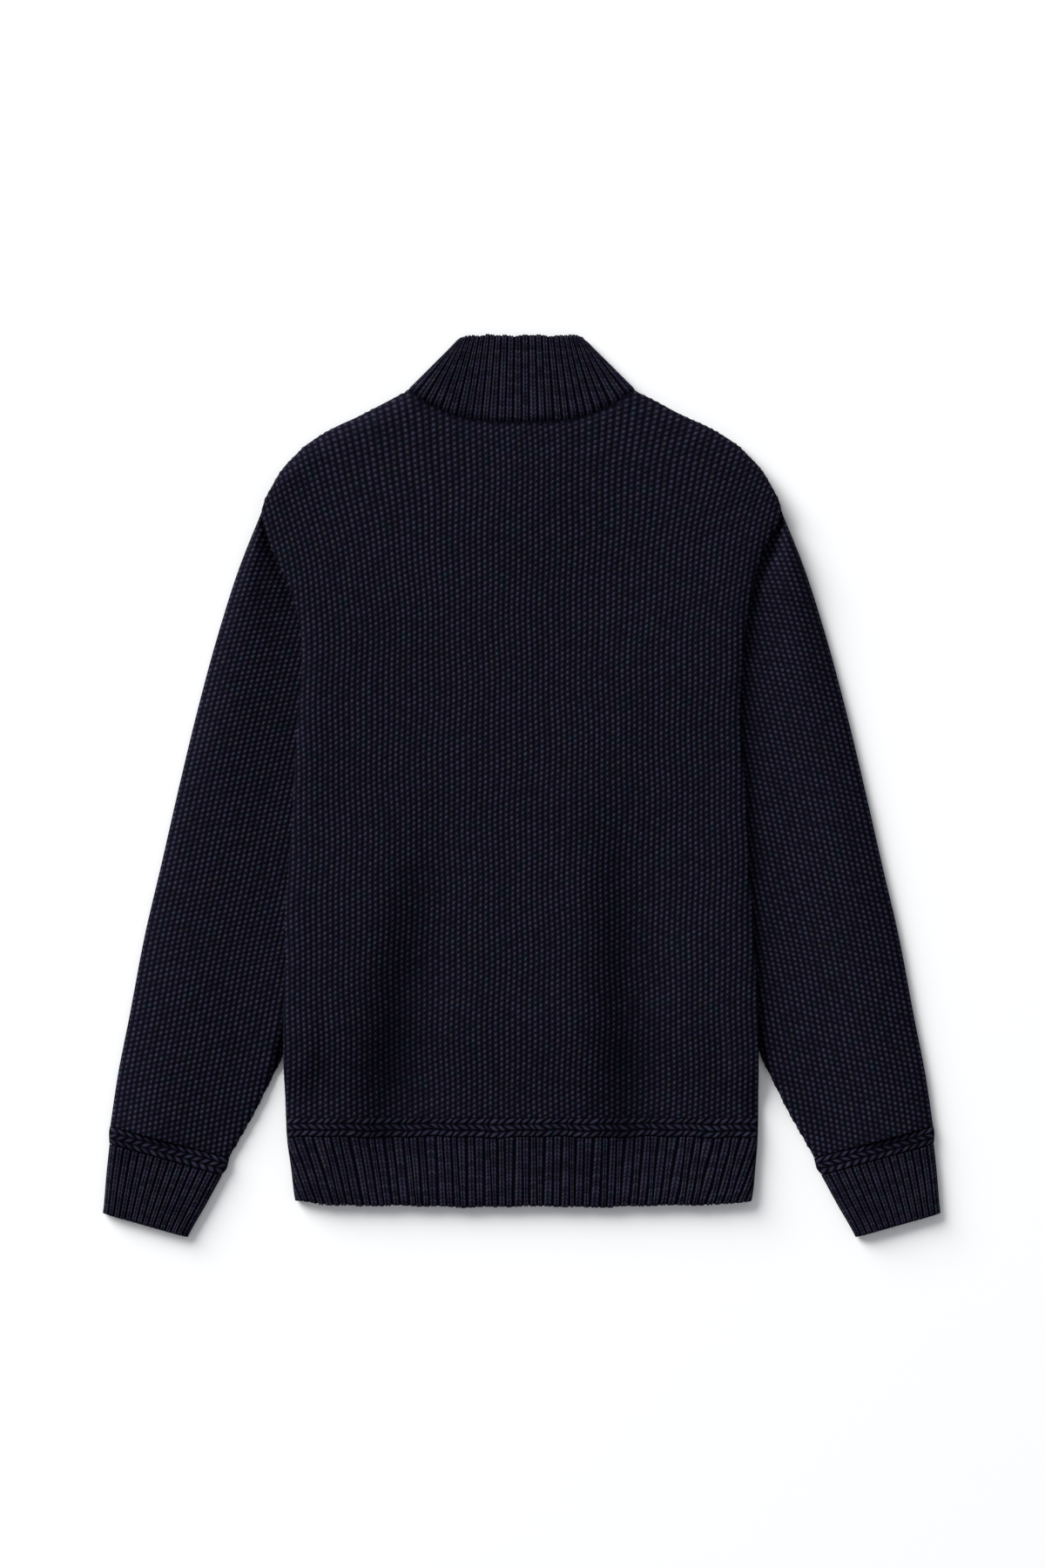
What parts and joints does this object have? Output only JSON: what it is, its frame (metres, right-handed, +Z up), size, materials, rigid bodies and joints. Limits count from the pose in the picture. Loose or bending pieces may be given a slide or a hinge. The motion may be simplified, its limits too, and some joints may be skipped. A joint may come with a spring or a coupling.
{
  "type": "zip-up sweater",
  "caption": "Dark navy zip-up sweater in moss-stitch knit with ribbed stand collar, hem and cuffs, laid flat with its back up.",
  "frame": {"origin": "centre of the footprint, on the surface that the sweater lies on", "axes": "+X to the right of someone who looks down at the back, +Y from the hem to the collar, +Z up from the surface"},
  "size_m": [0.6996, 0.7534, 0.0174],
  "materials": {
    "moss_knit": "matt moss-stitch knit",
    "rib_knit": "matt rib knit",
    "plait_knit": "matt plaited knit",
    "zip_tape": "woven tape",
    "zip_metal": "dark plated metal"
  },
  "bodies": {
    "garment": {"back_panel": "moss_knit", "front_left": "moss_knit", "front_right": "moss_knit", "sleeve_left": "moss_knit", "sleeve_right": "moss_knit", "collar": "rib_knit", "hem_plait": "plait_knit", "hem_rib": "rib_knit", "cuff_plait_left": "plait_knit", "cuff_plait_right": "plait_knit", "cuff_rib_left": "rib_knit", "cuff_rib_right": "rib_knit", "zip_tape_left": "zip_tape", "zip_tape_right": "zip_tape", "zip_teeth": "zip_metal", "zip_box": "zip_metal", "zip_stop_left": "zip_metal", "zip_stop_right": "zip_metal", "zip_slider": "zip_metal"},
    "pull": {"zip_pull": "zip_metal"}
  },
  "joints": [
    {"name": "pull_swing", "type": "hinge", "parent": "garment", "child": "pull", "pos_m": [0, 0.3195, 0.001], "axis": [1, 0, 0], "range_deg": [0, 160]}
  ]
}
